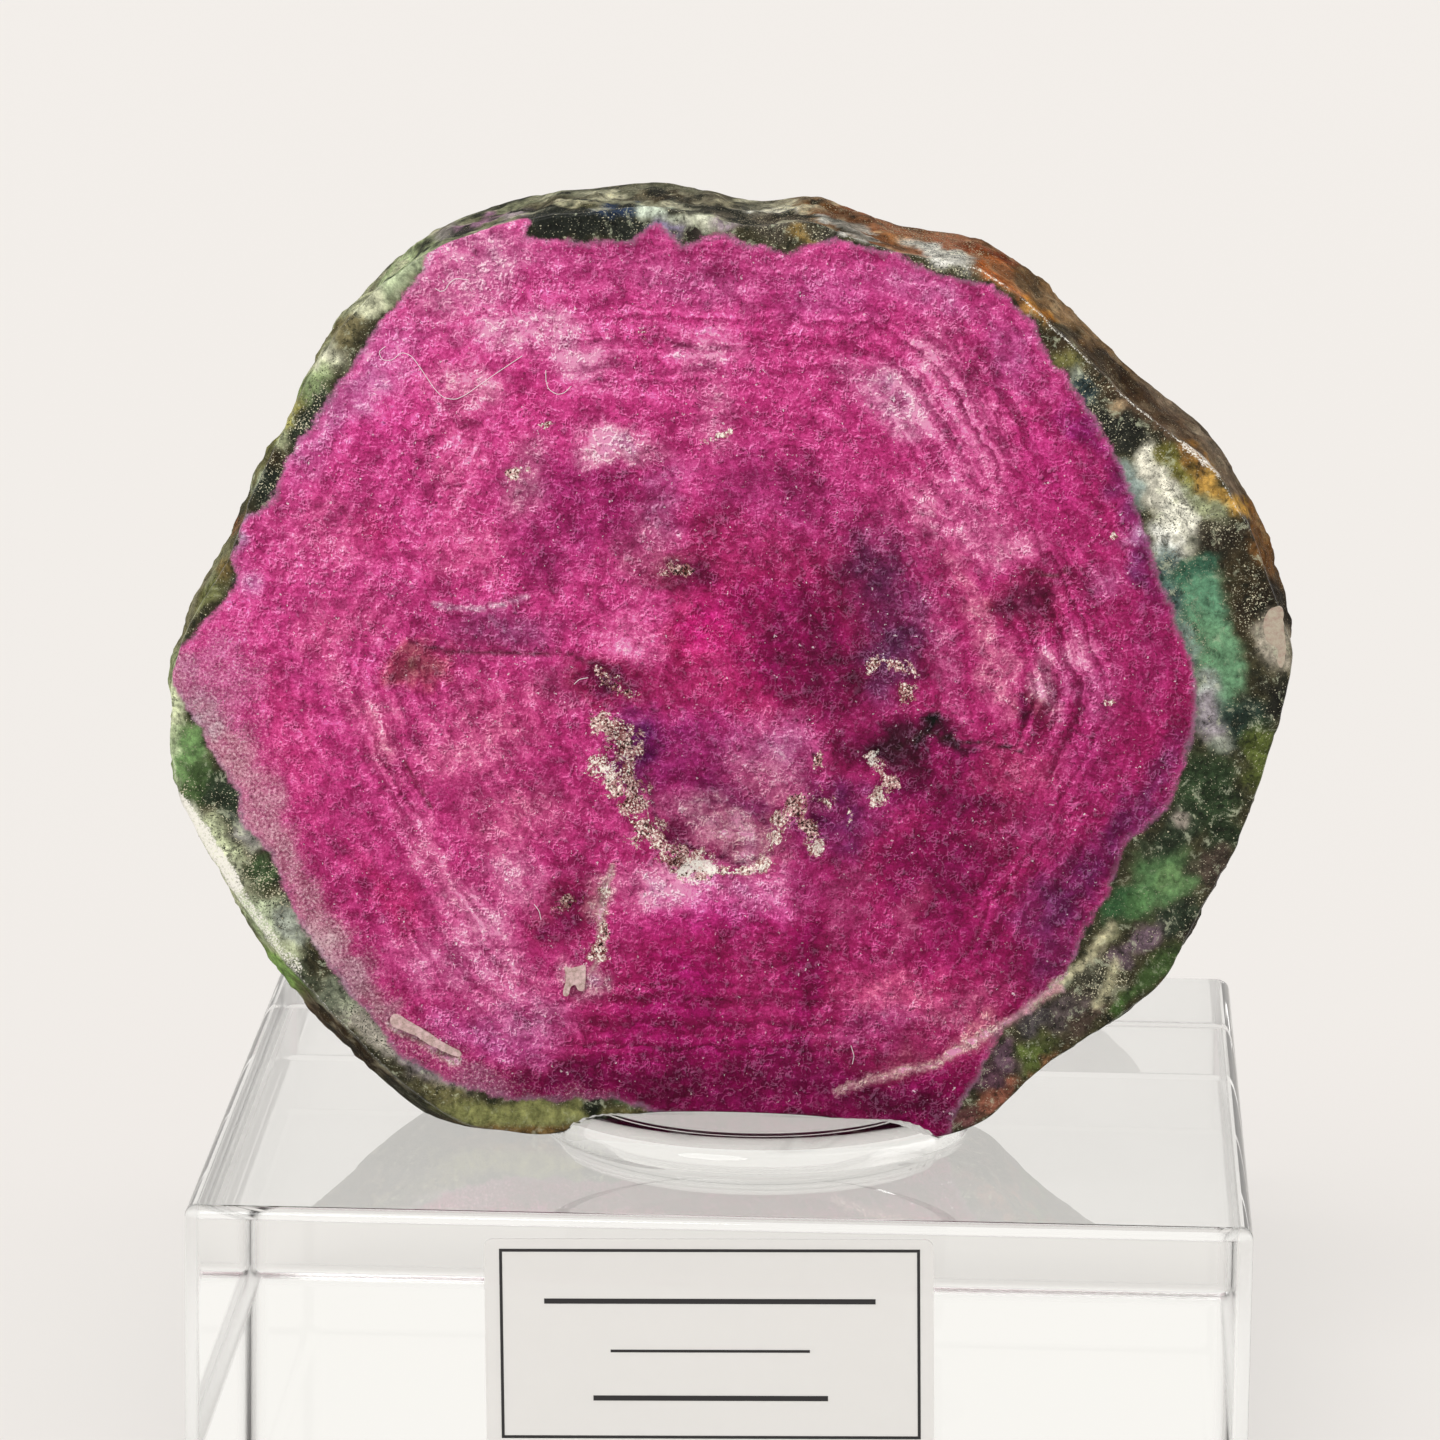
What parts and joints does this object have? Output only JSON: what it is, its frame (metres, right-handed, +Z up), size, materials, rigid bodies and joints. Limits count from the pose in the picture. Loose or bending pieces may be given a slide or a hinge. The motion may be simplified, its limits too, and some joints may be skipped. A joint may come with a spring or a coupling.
{
  "type": "ruby in zoisite slab on a clear stand",
  "caption": "Thick polished slab of magenta ruby with a green and black zoisite rim, stood on edge on a soft clear pad on a square clear block with a small label film.",
  "frame": {"origin": "centre of the clear block's base, on the surface that it stands on", "axes": "+X to the right along the block's front edge, +Y to the back, +Z up; the slab's polished face looks along -Y"},
  "size_m": [0.0652, 0.0604, 0.07],
  "materials": {
    "ruby_zoisite": "polished faces, rough natural rim",
    "acrylic": "clear, hand-polished",
    "gel": "clear, soft",
    "film": "clear printed film"
  },
  "bodies": {
    "root": {"acrylic_block": "acrylic", "gel_pad": "gel", "ruby_zoisite_slab": "ruby_zoisite", "label_film": "film"}
  },
  "joints": []
}
